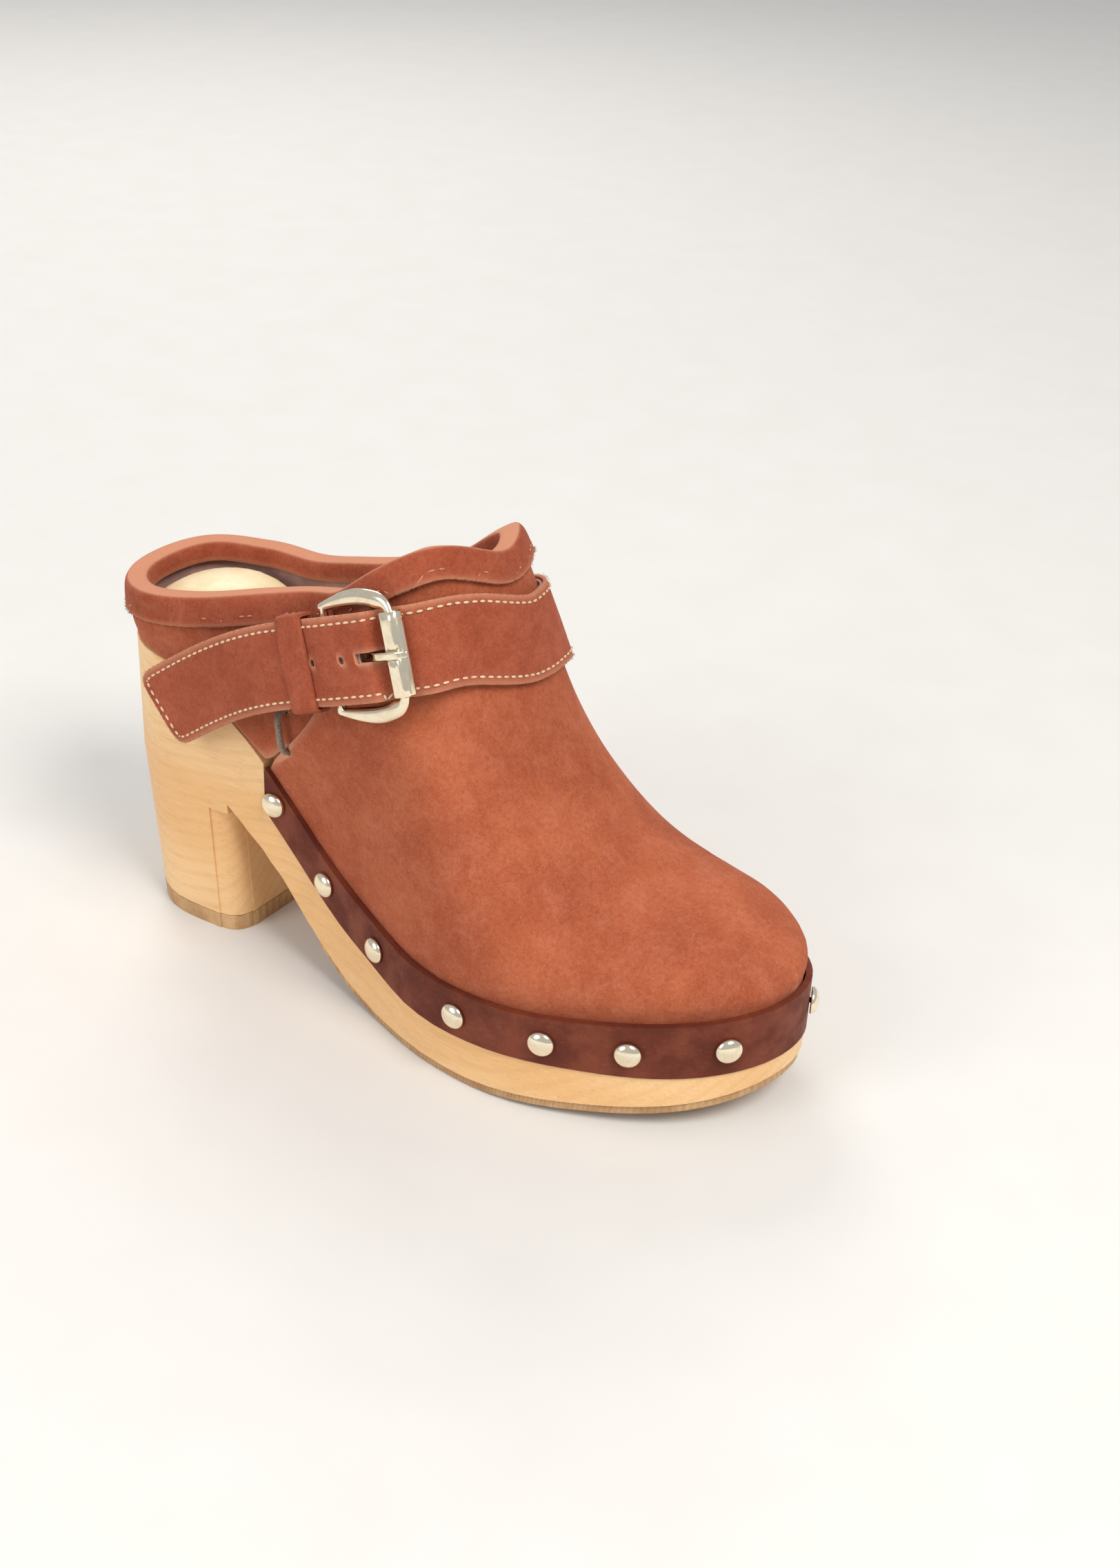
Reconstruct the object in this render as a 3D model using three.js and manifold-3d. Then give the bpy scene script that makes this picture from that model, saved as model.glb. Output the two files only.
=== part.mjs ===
// A right-foot wooden clog with a block heel: a carved wooden sole, a suede upper nailed on under
// a rand, and a strap that crosses the instep to a horseshoe buckle on the outer side.
// Millimetres, +Z up, the toe points to -Y and the outer side of the foot is -X.
import * as THREE from "three";
import { mergeVertices } from "three/addons/utils/BufferGeometryUtils.js";
import Module from "manifold-3d";

// Overall sizes.
const soleLength = 250;
const heelSeat = 104; // height of the wood's top edge at the heel
const ballSeat = 35; // and at the ball
const instepRise = 69; // from the ball's seat to the level that the forepart's ridge is measured from
const toeRise = 8.5; // rise of that edge from the ball to the toe
const heelHalf = 31; // half width of the heel seat
const waistOuter = 27;
const waistInner = 30;
const ballOuter = 48.5;
const ballInner = 43.5;
const toeShift = 9.9; // how far the toe's middle lies towards the inner side

// Wooden sole, outsole and heel.
const outsole = 3;
const outsoleStart = 0.36;
const heelTopPiece = 6;
const heelBreast = 52; // from the back of the sole to the front face of the heel
const heelTaper = 4.5;
const heelCorner = 8; // rounding of the heel's two front corners
const archHeight = 55; // top of the notch in front of the heel
const toeSpring = 13.5;
const bedInset = 1.5; // how far the wood's top lies under the crease in the forepart
const bedRaise = 6.5; // how far it lies above the crease at the heel
const footbed = 3;
const sock = 1.2;

// Leathers.
const vampThickness = 1.5;
const quarterThickness = 1.5;
const lining = 1.1;
const bindingThickness = 1;
const bindingHeight = 8;
const seamOverlap = 9; // how far the vamp laps over the quarter
const lastingMargin = 11;
const randHeight = 17;
const randToeExtra = 2.8;
const randThickness = 2.1;
const randStart = 0.274; // where the rand begins, as a share of the length from the heel
const innerFall = 8; // how much lower the collar lies on the inner side

// Studs.
const studDiameter = 8.8;
const studDome = 2.7;
const shankDiameter = 1.8;
const shankLength = 13;

// Strap, buckle and keeper.
const strapWidth = 27;
const strapThickness = 1.5;
const strapBacking = 0.9;
const barDiameter = 2.6;
const frameReach = 28; // from the sleeve bar to the pivot bar
const frameHeight = strapWidth + 13.5;
const frameBar = 5.2; // width of the frame's tube
const sleeveWidth = 7;
const sleeveDepth = 5;
const chapeWidth = strapWidth - 4;
const chapeThickness = 1;
const keeperWidth = 10;
const keeperThickness = 1.2;
const keeperTravel = 5;
const holePitch = 12.5;
const holeDiameter = 2.4;
const tackDiameter = 2.4; // the waxed cord at the vamp's lower back corner

// Clearances.
const gap = 0.3; // between pieces that touch
const ply = 0.2; // between the last and each layer of the upper
const lapGap = 1; // between the quarter and the vamp that laps over it
const bindingGap = 0.8; // between the folded strip and the collar inside it

const wasm = await Module();
wasm.setup();

// ---------- curves ----------

// A smooth curve through [x, y] points. With level true it never overshoots them.
function through(points, level = false) {
  const n = points.length;
  const width = points.slice(1).map((p, i) => p[0] - points[i][0]);
  const slope = points.slice(1).map((p, i) => (p[1] - points[i][1]) / width[i]);
  const tangent = points.map((_, i) => {
    if (i === 0) return slope[0];
    if (i === n - 1) return slope[n - 2];
    if (!level) return (slope[i - 1] * width[i] + slope[i] * width[i - 1]) / (width[i - 1] + width[i]);
    return slope[i - 1] * slope[i] <= 0 ? 0 : (2 * slope[i - 1] * slope[i]) / (slope[i - 1] + slope[i]);
  });
  return (x) => {
    const at = THREE.MathUtils.clamp(x, points[0][0], points[n - 1][0]);
    let i = 0;
    while (i < n - 2 && at > points[i + 1][0]) i++;
    const t = (at - points[i][0]) / width[i];
    const near = (1 + 2 * t) * (1 - t) ** 2 * points[i][1] + t * (1 - t) ** 2 * width[i] * tangent[i];
    return near + t * t * (3 - 2 * t) * points[i + 1][1] + t * t * (t - 1) * width[i] * tangent[i + 1];
  };
}
const smooth = (low, high, x) => THREE.MathUtils.smoothstep(x, low, high);
const { clamp, lerp } = THREE.MathUtils;

// Half widths of the sole along its length, s running from 0 at the heel to 1 at the toe.
const outerHalf = through([[0, heelHalf - 1], [0.1, heelHalf], [0.2, heelHalf - 1], [0.32, waistOuter],
  [0.45, waistOuter + 7], [0.58, ballOuter - 3.5], [0.7, ballOuter], [0.82, ballOuter - 4.5], [1, ballOuter - 8.5]]);
const innerHalf = through([[0, heelHalf - 1], [0.1, heelHalf], [0.2, heelHalf], [0.32, waistInner],
  [0.45, waistInner + 2], [0.58, ballInner - 4.5], [0.7, ballInner], [0.82, ballInner - 1.5], [1, ballInner - 7.5]]);
const toeRound = (s) => Math.max(0, 1 - clamp((s - 0.74) / 0.26, 0, 1) ** 2.2) ** (1 / 2.1);
const heelRound = (s) => Math.max(0, 1 - clamp((0.125 - s) / 0.125, 0, 1) ** 2.3) ** (1 / 2.2);
const centre = (s) => toeShift * clamp((s - 0.4) / 0.6, 0, 1) ** 1.5;

// Heights along the length.
const seatFall = through([[0, 1], [0.05, 0.996], [0.1, 0.985], [0.17, 0.9], [0.243, 0.7], [0.3, 0.464],
  [0.35, 0.29], [0.4, 0.174], [0.45, 0.1], [0.5, 0.048], [0.55, 0.013], [0.6, 0]], true);
const crease = (s) =>
  ballSeat + (heelSeat - ballSeat) * seatFall(s) + toeRise * clamp((s - 0.6) / 0.4, 0, 1) ** 1.6;
const randLow = (s) => crease(s) - randHeight - randToeExtra * smooth(0.7, 0.95, s);
const woodFloor = through([[0.208, archHeight], [0.3, 31], [0.35, 18], [0.4, 9.8], [0.45, 5], [0.49, outsole + gap],
  [0.64, outsole + gap], [0.72, 4.6], [0.8, 6.4], [0.9, 9.8], [0.95, 12.6], [1, toeSpring + outsole + gap]], true);
const bed = (s) => crease(s) - bedInset + (bedRaise + bedInset) * (1 - smooth(0.2, 0.5, s));
const collar = through([[0, 17], [0.1, 20], [0.16, 23], [0.25, 29.5], [0.36, 38.5], [0.43, 47], [0.48, 54]]);
const ridge = through([[0.25, 136], [0.36, 138], [0.42, 136], [0.485, 101.5], [0.55, 63.1], [0.62, 10.5],
  [0.7, -23.7], [0.8, -39], [0.9, -41], [1, -48]]);
const ridgeTop = (s) => ridge(s) + lerp(heelSeat, ballSeat + instepRise, smooth(0.45, 0.65, s));
const toeDome = (s) => Math.max(0, 1 - clamp((s - 0.8) / 0.2, 0, 1) ** 2.4) ** (1 / 2.1);
const throat = 0.552; // where the collar crosses the ridge of the instep
const seamTop = 0.43; // where the vamp's back edge meets the collar

// ---------- plan outline ----------
// The walk angle a runs from 0 at the heel to pi at the toe on the outer side, and to -pi on the inner one.

const wrap = (a) => (a > Math.PI ? a - 2 * Math.PI : a < -Math.PI ? a + 2 * Math.PI : a);
const lengthShare = (a) => (1 - Math.cos(a)) / 2;
const walkAngle = (s) => Math.acos(1 - 2 * clamp(s, 0, 1));
const lengthwise = (s) => soleLength * (0.5 - s);

function outline(walk) {
  const a = wrap(walk);
  const s = lengthShare(a);
  const half = a >= 0 ? -outerHalf(s) : innerHalf(s);
  return new THREE.Vector3(centre(s) + half * toeRound(s) * heelRound(s), lengthwise(s), 0);
}

function outlineNormal(a) {
  const step = 1e-4;
  const along = outline(a + step).sub(outline(a - step));
  return new THREE.Vector3(along.y, -along.x, 0).normalize();
}

// A point beside the outline, a distance out of it, at a height.
const beside = (a, out, z) => outline(a).addScaledVector(outlineNormal(a), out).setZ(z);

// ---------- the last: the surface that the upper is pulled over ----------
// phi climbs from 0 at the crease to pi / 2 on the ridge, and past it down the other side.

function last(walk, phi) {
  if (phi > Math.PI / 2) return last(-walk, Math.PI - phi);
  const a = wrap(walk);
  const s = lengthShare(a);
  const base = crease(s);
  const height = (ridgeTop(s) - base) * toeDome(s);
  const power = 2.15 + 0.2 * clamp((s - 0.5) / 0.4, 0, 1);
  const c = Math.cos(phi);
  const q = Math.sin(phi);
  const reach = 1 / (Math.abs(c) ** power + Math.abs(q) ** power) ** (1 / power);
  const bulge = 1 + 0.05 * Math.sin(2 * Math.max(phi, 0)) ** 2 * clamp((s - 0.3) / 0.2, 0, 1);
  const p = outline(a);
  const x = centre(s) + (p.x - centre(s)) * reach * c * bulge;
  const climb = height * reach * q;
  const inner = smooth(0.9, 1.8, a >= 0 ? phi : Math.PI - phi) * smooth(0, 0.08, s) * (1 - smooth(0.57, 0.68, s));
  const ease = inner * smooth(6, 36, climb);
  return new THREE.Vector3(x, p.y, base + climb - innerFall * ease);
}

// The surface's slopes along a and along phi.
function slopes(a, phi) {
  const step = 1e-4;
  const alongA = last(a + step, phi).sub(last(a - step, phi)).divideScalar(2 * step);
  const alongPhi = last(a, phi + step).sub(last(a, phi - step)).divideScalar(2 * step);
  return [alongA, alongPhi];
}

function lastNormal(a, phi) {
  if (Math.PI - Math.abs(a) < 1e-6) return new THREE.Vector3(0, -1, 0);
  const [alongA, alongPhi] = slopes(a, phi);
  return alongA.cross(alongPhi).normalize();
}

// The last's surface, a distance off it.
const off = (a, phi, distance) => last(a, phi).addScaledVector(lastNormal(a, phi), distance);

// The walk angle and phi reached by moving a short vector along the surface.
function slide(a, phi, move) {
  const parts = 3;
  let at = [a, phi];
  for (let i = 0; i < parts; i++) {
    const [u, v] = slopes(...at);
    const [uu, uv, vv] = [u.dot(u), u.dot(v), v.dot(v)];
    const [um, vm] = [u.dot(move) / parts, v.dot(move) / parts];
    const det = uu * vv - uv * uv;
    at = [at[0] + (um * vv - vm * uv) / det, at[1] + (vm * uu - um * uv) / det];
  }
  return at;
}

// How far the leather is tucked in at the crease: over the wood at the heel, and under the rand from where
// that begins.
const heelTuck = 2;
const randOuter = 0.7;
const randInner = randOuter - randThickness;
const rabbetWall = -randInner + vampThickness + lining + ply + 4 * gap; // depth of the wood's step
const upperOut = ply / 2 + vampThickness;
const randTuck = upperOut + gap + 0.1 - randInner;
const tuck = (s) => lerp(heelTuck, randTuck, smooth(randStart - 0.012, randStart - 0.002, s));

// A point of the upper, with the tuck at the crease. Below the crease it is the lasting margin.
function upper(a, phi, distance, below = 0) {
  const s = lengthShare(a);
  const side = phi > Math.PI / 2 ? -a : a;
  if (below > 0) return beside(side, distance - tuck(s), crease(s) - below);
  const climb = Math.max(0, last(a, phi).z - crease(s));
  const fade = tuck(s) * Math.exp(-((climb / 4.5) ** 2));
  return off(a, phi, distance).addScaledVector(outlineNormal(side), -fade);
}

// phi of the collar at s: a height at the heel end, and an arch across the ridge at the throat.
function collarPhi(s) {
  if (s >= throat) return Math.PI / 2;
  const arch = Math.PI / 2 - Math.sqrt((-0.1 + Math.sqrt(0.01 + 0.08 * (throat - s))) / 0.04);
  const share = (heelSeat + collar(s) - crease(s)) / (ridgeTop(s) - crease(s));
  const power = 2.15;
  const side = Math.atan2(share, Math.max(1e-6, 1 - share ** power) ** (1 / power));
  return lerp(side, arch, smooth(0.37, 0.45, s));
}

// The vamp's back edge: s against the share of the way from the crease to the collar, and its inverse.
const seamS = through([[0, randStart], [0.1, 0.289], [0.25, 0.31], [0.37, 0.33], [0.56, 0.383], [1, seamTop]]);
function bisect(f, low, high) {
  for (let i = 0; i < 40; i++) {
    const mid = (low + high) / 2;
    if (f(mid) < 0) low = mid;
    else high = mid;
  }
  return (low + high) / 2;
}
const seamShare = (s) => (s >= seamTop ? 1 : bisect((v) => seamS(v) - s, 0, 1));
// The vamp's whole back boundary, seam and collar, as s at phi.
const vampBack = (phi) =>
  bisect((s) => (s >= throat ? 1 : seamShare(s) * collarPhi(s) - Math.min(phi, Math.PI - phi)), randStart, throat);

// ---------- solids ----------

function positionOnly(geometry) {
  const bare = geometry.clone();
  bare.deleteAttribute("normal");
  bare.deleteAttribute("uv");
  return mergeVertices(bare, 1e-4);
}

function toSolid(geometry) {
  const merged = positionOnly(geometry);
  const mesh = new wasm.Mesh({
    numProp: 3,
    vertProperties: new Float32Array(merged.attributes.position.array),
    triVerts: new Uint32Array(merged.index.array),
  });
  mesh.merge();
  const solid = new wasm.Manifold(mesh);
  if (solid.volume() >= 0) return solid;
  const turned = new Uint32Array(merged.index.array);
  for (let i = 0; i < turned.length; i += 3) [turned[i + 1], turned[i + 2]] = [turned[i + 2], turned[i + 1]];
  return new wasm.Manifold(new wasm.Mesh({
    numProp: 3,
    vertProperties: new Float32Array(merged.attributes.position.array),
    triVerts: turned,
  }));
}

function toGeometry(solid) {
  const mesh = solid.getMesh();
  return new THREE.BufferGeometry()
    .setAttribute("position", new THREE.BufferAttribute(new Float32Array(mesh.vertProperties), 3))
    .setIndex(new THREE.BufferAttribute(new Uint32Array(mesh.triVerts), 1));
}

// A closed skin between two grids of points: face[i][j] and back[i][j]. A loop joins its last row to its
// first one, and an open sheet whose last row closes on itself leaves its end wall out.
function sheet(face, back, { loop = false, closedStart = false, closedEnd = false } = {}) {
  const rows = face.length;
  const columns = face[0].length;
  const positions = [...face.flat(), ...back.flat()].flatMap((p) => [p.x, p.y, p.z]);
  const index = [];
  const front = (i, j) => (i % rows) * columns + j;
  const rear = (i, j) => rows * columns + front(i, j);
  const quad = (p, q, r, s) => index.push(p, q, r, p, r, s);
  for (let i = 0; i < (loop ? rows : rows - 1); i++) {
    for (let j = 0; j < columns - 1; j++) {
      quad(front(i, j), front(i + 1, j), front(i + 1, j + 1), front(i, j + 1));
      quad(rear(i, j), rear(i, j + 1), rear(i + 1, j + 1), rear(i + 1, j));
    }
    quad(front(i, 0), rear(i, 0), rear(i + 1, 0), front(i + 1, 0));
    quad(front(i, columns - 1), front(i + 1, columns - 1), rear(i + 1, columns - 1), rear(i, columns - 1));
  }
  for (let j = 0; j < columns - 1 && !loop; j++) {
    if (!closedStart) quad(front(0, j), front(0, j + 1), rear(0, j + 1), rear(0, j));
    if (!closedEnd) quad(front(rows - 1, j), rear(rows - 1, j), rear(rows - 1, j + 1), front(rows - 1, j + 1));
  }
  const flat = index.filter((_, k) => k % 3 === 0).flatMap((_, t) => {
    const [p, q, r] = index.slice(3 * t, 3 * t + 3);
    const same = (m, n) => [0, 1, 2].every((d) => Math.abs(positions[3 * m + d] - positions[3 * n + d]) < 1e-4);
    return same(p, q) || same(q, r) || same(p, r) ? [] : [p, q, r];
  });
  const geometry = new THREE.BufferGeometry();
  geometry.setAttribute("position", new THREE.Float32BufferAttribute(positions, 3));
  geometry.setIndex(flat);
  return toSolid(geometry);
}

const steps = (from, to, count) => Array.from({ length: count + 1 }, (_, i) => from + ((to - from) * i) / count);

// Stations between two shares of the length, closer together near the heel and the toe.
const shares = (from, to, count) => steps(walkAngle(from), walkAngle(to), count).map(lengthShare);

// A band that follows the outline between two walk angles, from out0 to out1 and low(s) to high(s).
function band(from, to, count, out0, out1, low, high) {
  const at = (out) => steps(from, to, count).map((a) => {
    const walk = Math.abs(a) > Math.PI ? a - 2 * Math.PI * Math.sign(a) : a;
    return [low(lengthShare(walk)), high(lengthShare(walk))].map((z) => beside(walk, out, z));
  });
  return sheet(at(out1), at(out0));
}

// A profile of [y, z] points, extruded across the shoe.
function acrossShoe(points) {
  const shape = new THREE.Shape(points.map(([y, z]) => new THREE.Vector2(y, z)));
  const geometry = new THREE.ExtrudeGeometry(shape, { depth: 160, bevelEnabled: false }).translate(0, 0, -80);
  const [x, y, z] = [new THREE.Vector3(1, 0, 0), new THREE.Vector3(0, 1, 0), new THREE.Vector3(0, 0, 1)];
  return toSolid(geometry.applyMatrix4(new THREE.Matrix4().makeBasis(y, z, x)));
}

// A solid through level rings of points that all have the same count and run anticlockwise.
function loft(rings) {
  const count = rings[0].length;
  const top = (rings.length - 1) * count;
  const index = [];
  for (let here = 0; here < top; here += count) {
    for (let k = 0; k < count; k++) {
      const next = (k + 1) % count;
      index.push(here + k, here + next, here + count + next, here + k, here + count + next, here + count + k);
    }
  }
  const flat = rings[0].map((p) => new THREE.Vector2(p.x, p.y));
  for (const [p, q, r] of THREE.ShapeUtils.triangulateShape(flat, [])) {
    index.push(p, r, q, top + p, top + q, top + r);
  }
  const geometry = new THREE.BufferGeometry();
  geometry.setAttribute("position", new THREE.Float32BufferAttribute(rings.flat().flatMap((p) => p.toArray()), 3));
  return toSolid(geometry.setIndex(index));
}

// The outline, set in by inset(s, z), stacked up through the given levels.
function stack(count, levels, inset) {
  const walk = steps(0, 2 * Math.PI, count).slice(0, -1);
  return loft(levels.map((z) => walk.map((a) => beside(a, -inset(lengthShare(wrap(a)), z), z))));
}

// A flat-topped plate that fills the outline from s0 to s1, set in by inset, between two heights.
function plate(s0, s1, count, inset, low, high) {
  const rows = steps(walkAngle(s0), walkAngle(s1), count);
  const face = (height) => rows.map((a) => [a, -a].map((side) => {
    const p = beside(side, -inset, 0);
    return p.setZ(height(0.5 - p.y / soleLength));
  }));
  return sheet(face(high), face(low), { closedStart: s0 === 0, closedEnd: s1 === 1 });
}

// ---------- wooden sole and what it stands on ----------

const breastS = heelBreast / soleLength;
const heelInset = (s, z) => heelTaper * (1 - smooth(0.2, 0.32, s)) * clamp(1 - z / 62, 0, 1);

// What rounds one front corner of the heel away, up to the notch.
function cornerCutter(side, top) {
  const ring = (z) => {
    const corner = beside(side * walkAngle(breastS), -heelInset(breastS, z), z);
    const inward = side > 0 ? 1 : -1;
    const at = (x, y) => new THREE.Vector3(corner.x + inward * x, corner.y + y, z);
    const arc = steps(0, Math.PI / 2, 6).map((t) =>
      at(heelCorner * (1 - Math.sin(t)), heelCorner * (1 - Math.cos(t))));
    return [at(-3, heelCorner), at(-3, -3), at(heelCorner, -3), ...arc];
  };
  const rings = [ring(-1), ring(top)];
  const flat = rings[0].map((p) => new THREE.Vector2(p.x, p.y));
  return loft(THREE.ShapeUtils.isClockWise(flat) ? rings.map((r) => r.reverse()) : rings);
}

const heelSides = stack(80, [0, 62, 140], heelInset);
const heelCorners = [cornerCutter(1, archHeight - 4), cornerCutter(-1, archHeight - 4)];
const cut = (solid, ...cutters) => cutters.reduce((rest, cutter) => rest.subtract(cutter), solid);

function woodenSole() {
  const beyond = soleLength / 2 + 2;
  const top = shares(0, 1, 36).map((s) => [lengthwise(s), bed(s)]);
  const under = [...shares(1, outsoleStart, 30), ...shares(outsoleStart, breastS, 8).slice(1)]
    .map((s) => [lengthwise(s), woodFloor(s)]);
  const base = heelTopPiece + gap;
  const profile = [[beyond, bed(0)], ...top, [-beyond, bed(1)], [-beyond, woodFloor(1)], ...under,
    [lengthwise(breastS), base], [beyond, base]];
  const depth = rabbetWall + 0.2;
  const forward = walkAngle(randStart - 0.004);
  const seatCut = band(-forward, forward, 36, -depth, 12, (s) => crease(s) - gap, () => 160);
  const randCut = band(forward, 2 * Math.PI - forward, 72, -depth, 12, (s) => randLow(s) - 0.5, () => 160);
  return cut(heelSides.intersect(acrossShoe(profile)), seatCut, randCut, ...heelCorners);
}

function heelTop() {
  const front = lengthwise(breastS);
  const slab = acrossShoe([[front, 0], [130, 0], [130, heelTopPiece], [front, heelTopPiece]]);
  return cut(heelSides.intersect(slab), ...heelCorners);
}

const forepartOutsole = () =>
  plate(outsoleStart, 1, 30, 0.8, (s) => woodFloor(s) - gap - outsole, (s) => woodFloor(s) - gap);
const bedPlate = (low, high, inset) =>
  plate(0, 1, 36, rabbetWall + inset, (s) => bed(s) + low, (s) => bed(s) + high);

// ---------- upper ----------

// How far forward the quarter runs, as s, at a share v of the way up the seam: it butts against the vamp's
// corner at the bottom and runs in under the vamp above that.
const quarterFront = (v) => seamS(v) - 0.006 + (seamOverlap / soleLength + 0.006) * smooth(0.3, 0.5, v);
// How far the vamp is lifted over the quarter beneath it.
function lap(s, phi) {
  const v = clamp(Math.min(phi, Math.PI - phi) / collarPhi(s), 0, 1);
  const front = quarterFront(v);
  return (quarterThickness + lapGap) * smooth(0, 0.12, v) * (1 - smooth(front + 0.03, front + 0.06, s));
}

// A piece of the forepart, from its back boundary to the toe, between two distances off the last.
function forepart(rows, columns, back, inner, outer, lift) {
  const climb = steps(0, Math.PI, columns).map((phi) => [phi, 0]);
  const margins = [lastingMargin, lastingMargin / 2];
  const across = [...margins.map((m) => [0, m]), ...climb, ...margins.reverse().map((m) => [Math.PI, m])];
  const grid = (distance) => steps(0, 1, rows).map((t) => across.map(([phi, below]) => {
    const a = lerp(walkAngle(back(phi)), Math.PI, t ** 1.25);
    return upper(a, phi, distance + lift(lengthShare(a), phi), below);
  }));
  return sheet(grid(outer), grid(inner), { closedEnd: true });
}

// A piece that wraps the heel below the collar, out to front(v) on both sides.
function backpart(rows, columns, front, inner, outer) {
  const grid = (distance) => steps(-1, 1, rows).map((u) => steps(0, 1, columns).map((v) => {
    const a = u * walkAngle(front(v));
    return upper(a, v * collarPhi(lengthShare(a)), distance);
  }));
  return sheet(grid(outer), grid(inner));
}

const liningOut = -0.7;
const liningIn = liningOut - lining;
const vamp = () =>
  forepart(20, 20, vampBack, ply / 2, ply / 2 + vampThickness, lap);
const vampLining = () =>
  forepart(20, 10, vampBack, liningIn, liningOut, () => 0);
const quarter = () =>
  backpart(40, 8, quarterFront, ply / 2, ply / 2 + quarterThickness);
const quarterLining = () =>
  backpart(40, 4, (v) => seamS(v) - 0.017, liningIn, liningOut);
const rand = () =>
  band(walkAngle(randStart), 2 * Math.PI - walkAngle(randStart), 72, randInner, randOuter, randLow,
    (s) => crease(s) - ply);


// How far the binding's outer side is lifted over the upper under it.
function bindingLift(s, phi) {
  const overSeam = (quarterThickness + lapGap) * smooth(0.4, 0.418, s) * (1 - smooth(0.5, 0.53, s));
  return s > seamTop - 0.012 ? Math.max(overSeam, lap(s, phi)) : overSeam;
}

// A folded strip over the collar, all the way round.
function binding() {
  const quarterRound = steps(0, walkAngle(0.5), 20).map((a) => [a, collarPhi(lengthShare(a))]);
  const throatPhi = collarPhi(0.5);
  const over = steps(throatPhi, Math.PI - throatPhi, 12).slice(1, -1).map((phi) => {
    const q = Math.abs(Math.PI / 2 - phi);
    return [walkAngle(throat - 0.1 * q ** 2 - 0.02 * q ** 4), phi];
  });
  const back = quarterRound.slice(1).reverse().map(([a, phi]) => [a, Math.PI - phi]);
  const stations = [...quarterRound, ...over, ...back];
  const places = stations.map(([a, phi]) => last(a, phi));
  const count = stations.length;
  const face = (outer, inner, edge) => stations.map(([a, phi], i) => {
    const tangent = places[(i + 1) % count].clone().sub(places[(i + count - 1) % count]);
    const down = new THREE.Vector3().crossVectors(tangent, lastNormal(a, phi)).normalize();
    const lift = ply / 2 + vampThickness + bindingGap + bindingLift(lengthShare(a), phi);
    const inside = liningIn - 3 * bindingGap;
    return [[bindingHeight, lift + outer], [bindingHeight / 2, lift + outer], [0, lift + outer], [-edge, lift - 0.3],
      [-edge, inside + 0.3], [0, inside - inner], [bindingHeight - 3, inside - inner]]
      .map(([distance, height]) => off(...slide(a, phi, down.clone().multiplyScalar(distance)), height));
  });
  const t = bindingThickness;
  return sheet(face(t, t, bindingGap + t), face(0, 0, bindingGap), { loop: true });
}

// ---------- strap and buckle ----------
// The strap's middle line on the last, from its end behind the buckle to its end on the inner side, as
// s and phi. l is the distance along it from the sleeve bar, positive towards the tail, q is the distance
// across it, positive upwards, and d is the height over the upper's skin.

const strapRoute = [[0.128, -0.1], [0.2, 0.05], [0.275, 0.21], [0.366, 0.375], [0.43, 0.455], [0.49, 0.62],
  [0.54, 0.83], [0.563, 1.03], [0.578, 1.26], [0.585, 1.57], [0.581, 1.86], [0.568, 2.12], [0.54, 2.37], [0.49, 2.6],
  [0.43, 2.765], [0.366, 2.85], [0.29, 3.04]];
const strapLine = new THREE.CatmullRomCurve3(
  strapRoute.map(([s, phi]) => new THREE.Vector3(s, phi, 0)), false, "centripetal");
const strapSamples = steps(0, 1, 300).map((t) => {
  const p = strapLine.getPoint(t);
  return { a: walkAngle(p.x), phi: p.y, place: last(walkAngle(p.x), p.y) };
});
let run = 0;
strapSamples.forEach((sample, i) => {
  if (i > 0) run += sample.place.distanceTo(strapSamples[i - 1].place);
  sample.run = run;
});
const barS = 0.533;
const barRun = strapSamples.reduce((best, p) =>
  (Math.abs(lengthShare(p.a) - barS) < Math.abs(lengthShare(best.a) - barS) && p.phi < 1.2 ? p : best)).run;
const tailEnd = barRun;
const tailLift = 0; // of the tail's end over the skin
const innerEnd = barRun - run;

function strapAt(l) {
  const target = clamp(barRun - l, 0, run - 1e-6);
  const i = Math.max(1, strapSamples.findIndex((p) => p.run > target));
  const [p, n] = [strapSamples[i - 1], strapSamples[i]];
  const t = (target - p.run) / (n.run - p.run);
  const direction = p.place.clone().sub(n.place).normalize();
  return { a: lerp(p.a, n.a, t), phi: lerp(p.phi, n.phi, t), direction };
}

// The height of the skin under the strap, over the last.
const skin = (s) => upperOut + (quarterThickness + lapGap) * (1 - smooth(0.5, 0.53, s));

function onSkin(l, q, d) {
  const { a, phi, direction } = strapAt(l);
  const sideways = new THREE.Vector3().crossVectors(direction, lastNormal(a, phi)).normalize();
  const [a2, phi2] = slide(a, phi, sideways.multiplyScalar(q));
  return off(a2, phi2, skin(lengthShare(a2)) + d);
}

// The buckle's plane: it touches the skin between the sleeve bar and the keeper, and the pieces of the
// buckle lie flat on it.
const keeperStart = frameReach + 5.5;
const planeFrom = onSkin(-4, 0, 0);
const planeTo = onSkin(keeperStart + 12, 0, 0);
const along = planeTo.clone().sub(planeFrom).normalize();
const outward = onSkin(frameReach / 2, 0, 1).sub(onSkin(frameReach / 2, 0, 0));
const across = new THREE.Vector3().crossVectors(along, outward).normalize();
outward.crossVectors(across, along).normalize();
const planeOrigin = planeFrom.clone().addScaledVector(along, 4);
const planeLift = Math.max(...steps(-6, 46, 13).flatMap((l) => steps(-20, 20, 8).map((q) =>
  onSkin(l, q, 0).sub(planeOrigin).dot(outward))));
planeOrigin.addScaledVector(outward, planeLift);
const buckleFrame = new THREE.Matrix4().makeBasis(across, along, outward).setPosition(planeOrigin);

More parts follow.
